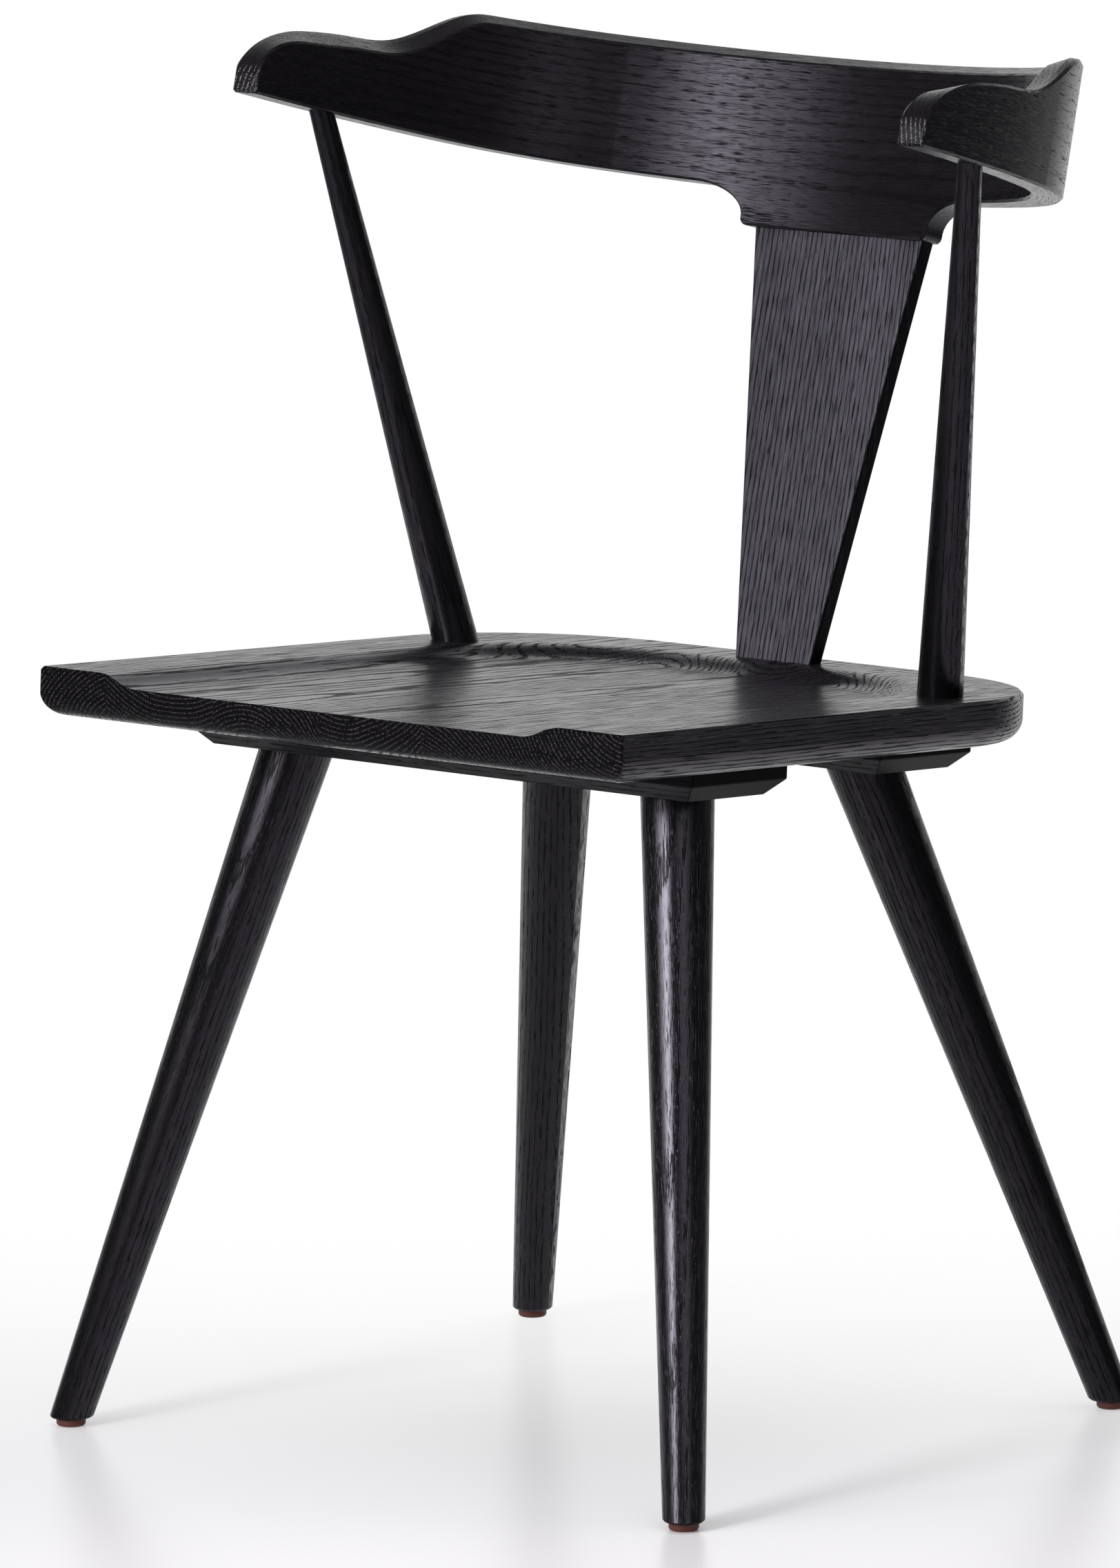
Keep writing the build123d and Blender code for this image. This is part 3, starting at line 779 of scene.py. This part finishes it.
def pale_floor(name):
    """Pale paint with a soft gloss that goes over to white and is clear from below."""
    material, start = new_material(name)
    point = coordinate(start, "Object")
    near_lamp = rise(0 - point.dot(side_direction), *lamp_rise)
    tone = blend_colour(near_lamp, right_tone, left_tone)
    paint_layer = start.node("ShaderNodeBsdfPrincipled", {}, {"Base Color": tone, "Roughness": 0.30})
    white = start.node("ShaderNodeEmission", {}, {"Color": grey(1.0), "Strength": 1.0})
    top = mix_shaders(white_sweep(start, point), paint_layer, white)
    below = start.node("ShaderNodeNewGeometry", {}, {}, "Backfacing")
    clear = start.node("ShaderNodeBsdfTransparent")
    close_material(mix_shaders(below, top, clear))
    return material


floor_paint = pale_floor("floor_pale")
print("floor paint has", len(floor_paint.node_tree.nodes), "shader nodes")

# %% [markdown]
# ## Laying the floor
# A studio floor has no edge in the picture. It could be cut to the camera's view, but the other
# views look elsewhere, so one large flat face lies under the chair at height 0, where the glides
# stand.

# %% Lay the floor
floor_reach = 60.0


def flat_panel(name, corners, material):
    """Object with one flat face and one material."""
    mesh = bpy.data.meshes.new(name)
    mesh.from_pydata(corners, [], [(0, 1, 2, 3)])
    mesh.materials.append(material)
    return add_object(name, mesh)


square = ((-1, -1), (1, -1), (1, 1), (-1, 1))
floor_corners = [(x * floor_reach, y * floor_reach, 0.0) for x, y in square]
floor = flat_panel("studio_floor", floor_corners, floor_paint)
print("floor reaches", floor_reach, "m each way")

# %% [markdown]
# ## Glow behind the chair
# Black wood shows its shape by what it mirrors. White glows behind the chair and the room on the
# camera's side is dim, so faces seen at a shallow angle pick up the white and the others stay
# dark. A lit backdrop could do that, but the world does it with nothing standing in the way.
# For the camera the world is plain white all round.

# %% Glow behind the chair
room_dim = 0.06
sweep_white = 1.0
glow_side = (0.58, 0.82)
glow_top = (0.36, 0.68)


def studio_world():
    """World that is white behind the chair, dim elsewhere, and plain white for the camera."""
    world = bpy.data.worlds.new("studio")
    world.use_nodes = True
    world.node_tree.nodes.clear()
    start = Wire(world.node_tree)
    direction = coordinate(start, "Generated")
    behind = rise(direction.dot(sweep_direction), *glow_side)
    above = rise(direction.part("Z"), *glow_top)
    glow = room_dim + (sweep_white - room_dim) * behind * (1 - above)
    level = glow.most(start.node("ShaderNodeLightPath", {}, {}, "Is Camera Ray"))
    background = start.node("ShaderNodeBackground", {}, {"Color": level, "Strength": 1.0})
    start.node("ShaderNodeOutputWorld", {}, {"Surface": background})
    return world


bpy.context.scene.world = studio_world()
print("the room glows from", room_dim, "to", sweep_white)

# %% [markdown]
# ## Soft boxes
# A tall soft box in front draws the light band on the crest and the streak on each leg. Two fills
# lift the faces that it misses, and a large box overhead lights the floor. Small lamps could give
# as much light, but black oak mirrors them as hard spots. Reflections don't see the overhead box,
# because it would grey the top edges.

# %% Hang the soft boxes
lamp_aim = Vector((0.0, 0.0, 0.5))


def soft_box(name, azimuth, elevation, distance, width, height, watts):
    """Area lamp aimed at the chair; azimuth 0 is straight in front, and positive is to the right."""
    lamp = bpy.data.lights.new(name, "AREA")
    lamp.shape = "RECTANGLE"
    lamp.size = width
    lamp.size_y = height
    lamp.energy = watts
    holder = add_object(name, lamp)
    turn = math.radians(azimuth)
    climb = math.radians(elevation)
    level = Vector((math.sin(turn), -math.cos(turn), 0.0))
    out = level * math.cos(climb) + Vector((0.0, 0.0, math.sin(climb)))
    holder.location = lamp_aim + out * distance
    holder.rotation_euler = out.to_track_quat("Z", "Y").to_euler()
    holder.visible_camera = False
    print(name, "hangs at", tuple(round(c, 2) for c in holder.location))
    return holder


soft_box("front_soft_box", azimuth=-4.5, elevation=20, distance=3.0, width=0.62, height=1.4, watts=52)
soft_box("left_fill", azimuth=-20, elevation=18, distance=3.0, width=1.0, height=1.2, watts=19)
soft_box("right_fill", azimuth=55, elevation=20, distance=3.0, width=1.8, height=1.2, watts=6)
overhead = soft_box("overhead", azimuth=0, elevation=89, distance=2.8, width=4.0, height=4.0, watts=85)
overhead.visible_glossy = False

# %% [markdown]
# ## Grey panel
# Photographers darken one side of a shiny thing with a flag, a panel that hides what it would
# mirror. Less white behind the chair could do the same, but the seat's top needs that white. So a
# dim grey panel stands behind the chair to the right, and only reflections see it: it is clear to
# the camera, takes no part in soft light and throws no shadow.

# %% Stand the panel
panel_foot = Vector((1.42, 1.2, 0.0))
panel_width = 2.3
panel_height = 1.9
panel_grey = 0.07
panel_cloth, start = new_material("dark_flag_cloth")
close_material(start.node("ShaderNodeEmission", {}, {"Color": grey(panel_grey), "Strength": 1.0}))
aside = Vector((-panel_foot.y, panel_foot.x, 0.0)).normalized() * (panel_width / 2)
panel_head = panel_foot + Vector((0.0, 0.0, panel_height))
panel_corners = [panel_foot - aside, panel_foot + aside, panel_head + aside, panel_head - aside]
panel = flat_panel("dark_flag", panel_corners, panel_cloth)
panel.visible_camera = False
panel.visible_diffuse = False
panel.visible_shadow = False
print("panel is", panel_width, "m wide and", panel_height, "m high")

# %% [markdown]
# ## Camera
# The photograph was taken with a long lens from the chair's front right, a little above the seat,
# so verticals stay straight and the legs hardly converge. The camera could be aimed by eye, but
# these values were fitted to corners of the chair in the photograph, so the render lies over it.

# %% Set the camera
view_pitch = math.radians(-8.914)
camera_data = bpy.data.cameras.new("photo_camera")
camera_data.lens = 277.8
camera_data.sensor_width = 36.0
camera_data.clip_end = 500.0
camera = add_object("photo_camera", camera_data)
camera.location = (4.3754, -5.5272, 1.48485)
camera.rotation_euler = (math.pi / 2 + view_pitch, 0.0, view_yaw)
bpy.context.scene.camera = camera
bpy.context.scene.view_settings.view_transform = "Standard"
print("camera stands", round(camera.location.length, 2), "m away")
